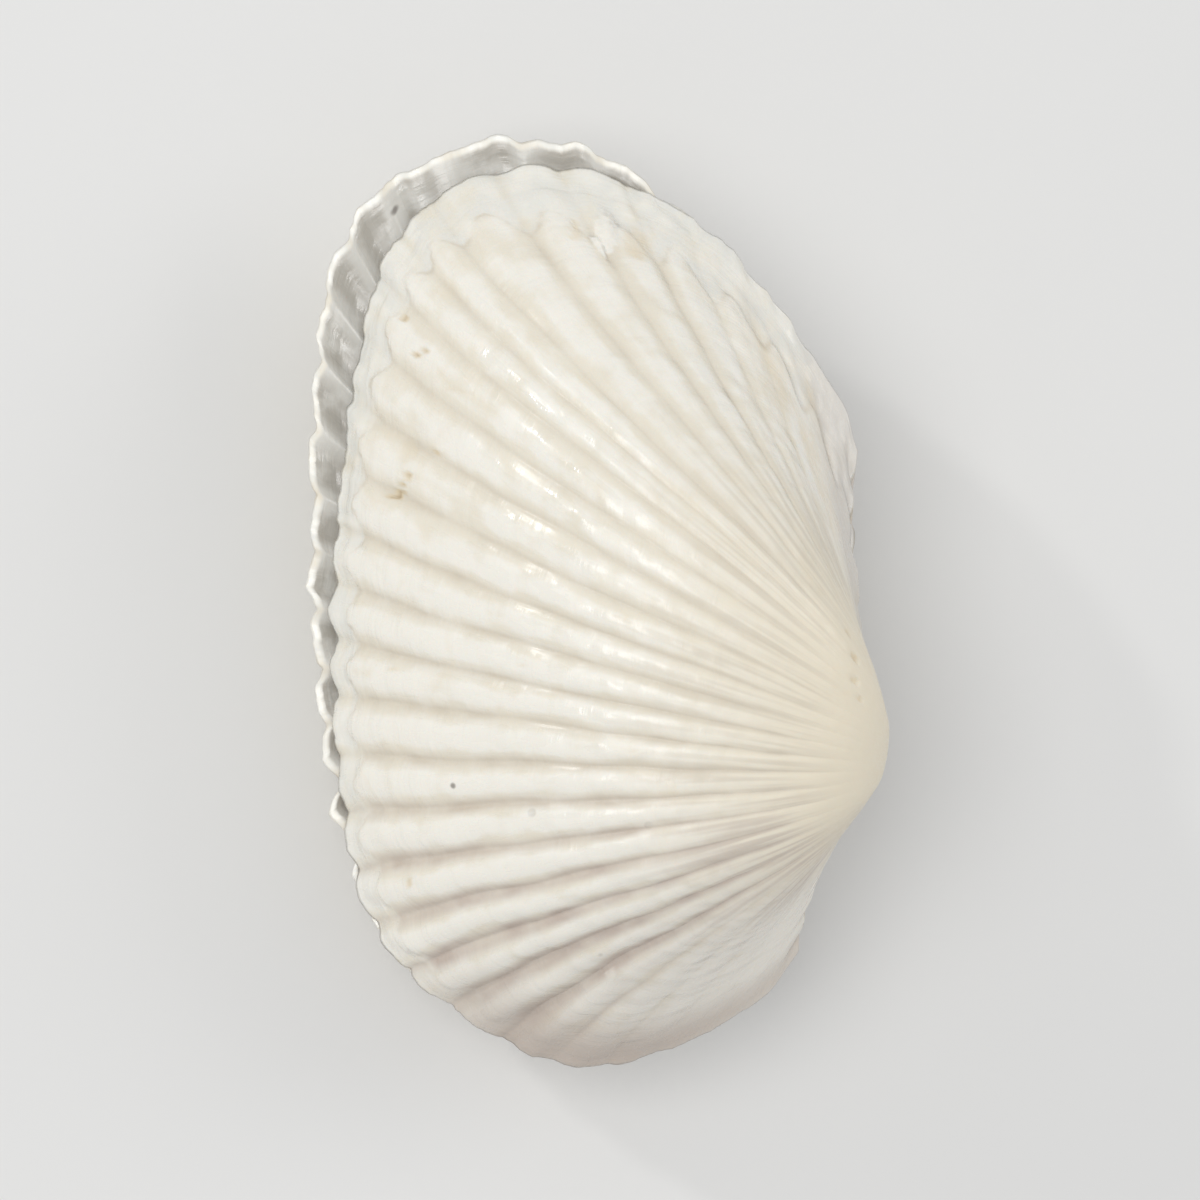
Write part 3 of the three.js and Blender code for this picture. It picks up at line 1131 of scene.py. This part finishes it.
    def fine_relief(self):
        """Growth lines, a fine grain, and beads along the ribs, weaker where worn or by the hinge."""
        rear = self.eased(self.rib, REAR_RELIEF_RIBS, (0.2, 1.0))
        front = self.eased(self.rib, FRONT_RELIEF_RIBS, (0.2, 1.0))
        ribbed = self.product(self.unworn, rear, front)
        fainter = self.over_turns(FAINTER_LINE_TURNS, (1.0, 0.5))
        lines = self.product(self.patterned(GROWTH_LINES), ribbed, fainter)
        grain = self.product(self.mottled(FINE_GRAIN), self.unworn, 0.2)
        beads = self.product(self.patterned(BEADS), ribbed, 2.6)
        height = self.total(lines, grain, beads)
        inputs = {"Height": height, "Strength": RELIEF_STRENGTH, "Distance": RELIEF_DISTANCE}
        return self.add("ShaderNodeBump", inputs).outputs[0]


def shell_material(name, colours, dot):
    """One valve's material, painted layer by layer."""
    finish = ShellFinish(name, colours, dot)
    finish.paint_ribs()
    finish.paint_band()
    finish.paint_stains()
    finish.paint_grooves()
    finish.paint_inside()
    finish.paint_front_grey_and_shade()
    finish.paint_marks()
    inputs = finish.surface.inputs
    finish.feed(inputs["Base Color"], finish.colour)
    finish.feed(inputs["Roughness"], finish.roughness())
    finish.feed(inputs["Normal"], finish.fine_relief())
    for socket, value in SHELL_SURFACE.items():
        inputs[socket].default_value = value
    return finish.material


# Stage

def floor_material(colour):
    """A matt, pale floor with a faint grain."""
    nodes = Nodes("pale_floor")
    grain = nodes.eased(nodes.mottled(FLOOR_GRAIN), (0.2, 0.8), (0.0, 0.06))
    grained = nodes.mixed(grain, colour, FLOOR_GRAIN_GREY)
    nodes.feed(nodes.surface.inputs["Base Color"], grained)
    nodes.surface.inputs["Roughness"].default_value = FLOOR_ROUGHNESS
    return nodes.material


def make_floor(settings):
    """A wide floor just under the shell."""
    bm = bmesh.new()
    bmesh.ops.create_grid(bm, x_segments=1, y_segments=1, size=FLOOR_HALF_WIDTH)
    bmesh.ops.translate(bm, vec=(0, 0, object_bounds()[0].z), verts=bm.verts)
    mesh = bpy.data.meshes.new("floor")
    bm.to_mesh(mesh)
    bm.free()
    mesh.materials.append(floor_material(settings.floor_colour))
    floor = bpy.data.objects.new("floor", mesh)
    bpy.context.scene.collection.objects.link(floor)
    floor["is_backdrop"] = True


def make_lamp(lamp, settings):
    """A square soft lamp, aimed at the shell."""
    light = bpy.data.lights.new(lamp.name, "AREA")
    light.size = lamp.width
    light.energy = getattr(settings, lamp.power)
    holder = bpy.data.objects.new(lamp.name, light)
    holder.location = lamp.place
    holder.rotation_euler = (LAMP_TARGET - Vector(lamp.place)).to_track_quat("-Z", "Y").to_euler()
    bpy.context.scene.collection.objects.link(holder)


def make_sky(settings):
    """Even light from all round."""
    world = bpy.data.worlds.new("soft_sky")
    world.use_nodes = True
    background = world.node_tree.nodes["Background"]
    background.inputs["Color"].default_value = opaque(settings.sky_colour)
    background.inputs["Strength"].default_value = settings.sky_strength
    bpy.context.scene.world = world


def make_camera(settings, sizes):
    """The photograph's viewpoint, almost square on to the plane where the valves meet."""
    camera = bpy.data.cameras.new("camera")
    camera.lens = settings.lens
    camera.clip_start = NEAREST_SEEN
    holder = bpy.data.objects.new("camera", camera)
    lean = Matrix.Rotation(settings.tilt, 4, "X") @ Matrix.Rotation(settings.turn, 4, "Z")
    back = Matrix.Translation((0, 0, settings.distance))
    holder.matrix_world = lying_matrix(sizes) @ Matrix.Translation(settings.aim) @ lean @ back
    bpy.context.scene.collection.objects.link(holder)
    bpy.context.scene.camera = holder


# Operators

def add_valve(context, valve):
    """Makes a valve, paints it, and puts it in its solid's place."""
    piece = make_valve(valve, context.scene.shell_sizes)
    piece.data.materials.append(shell_material(valve.slot, context.scene.shell_colours, valve.dot))
    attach(piece, "root")
    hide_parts(valve.node)


class SHELL_OT_upper_valve(bpy.types.Operator):
    """Make the upper valve"""

    bl_idname = "shell.upper_valve"
    bl_label = "Upper valve"

    def execute(self, context):
        add_valve(context, UPPER)
        return {"FINISHED"}


class SHELL_OT_lower_valve(bpy.types.Operator):
    """Make the larger, lower valve that the shell lies on"""

    bl_idname = "shell.lower_valve"
    bl_label = "Lower valve"

    def execute(self, context):
        add_valve(context, LOWER)
        return {"FINISHED"}


class SHELL_OT_stage(bpy.types.Operator):
    """Make the floor, the lamps and the camera"""

    bl_idname = "shell.stage"
    bl_label = "Stage"

    def execute(self, context):
        settings = context.scene.shell_stage
        make_floor(settings)
        make_sky(settings)
        for lamp in LAMPS:
            make_lamp(lamp, settings)
        context.scene.view_settings.view_transform = "Standard"
        make_camera(settings, context.scene.shell_sizes)
        return {"FINISHED"}


class SHELL_PT_panel(bpy.types.Panel):
    """Shell pieces in the sidebar"""

    bl_idname = "SHELL_PT_panel"
    bl_label = "Ark clam shell"
    bl_space_type = "VIEW_3D"
    bl_region_type = "UI"
    bl_category = "Shell"

    def draw(self, context):
        for operator in OPERATORS:
            self.layout.operator(operator.bl_idname)


OPERATORS = (SHELL_OT_upper_valve, SHELL_OT_lower_valve, SHELL_OT_stage)
CLASSES = (ShellSizes, ShellColours, StageSettings, *OPERATORS, SHELL_PT_panel)


def register():
    """Registers the classes and hangs their values on the scene."""
    for cls in CLASSES:
        bpy.utils.register_class(cls)
    bpy.types.Scene.shell_sizes = bpy.props.PointerProperty(type=ShellSizes)
    bpy.types.Scene.shell_colours = bpy.props.PointerProperty(type=ShellColours)
    bpy.types.Scene.shell_stage = bpy.props.PointerProperty(type=StageSettings)


def unregister():
    """Takes away what register added."""
    del bpy.types.Scene.shell_sizes
    del bpy.types.Scene.shell_colours
    del bpy.types.Scene.shell_stage
    for cls in reversed(CLASSES):
        bpy.utils.unregister_class(cls)


def main():
    """Makes the shell and its stage."""
    register()
    bpy.ops.shell.upper_valve()
    bpy.ops.shell.lower_valve()
    bpy.ops.shell.stage()


if __name__ == "__main__":
    main()
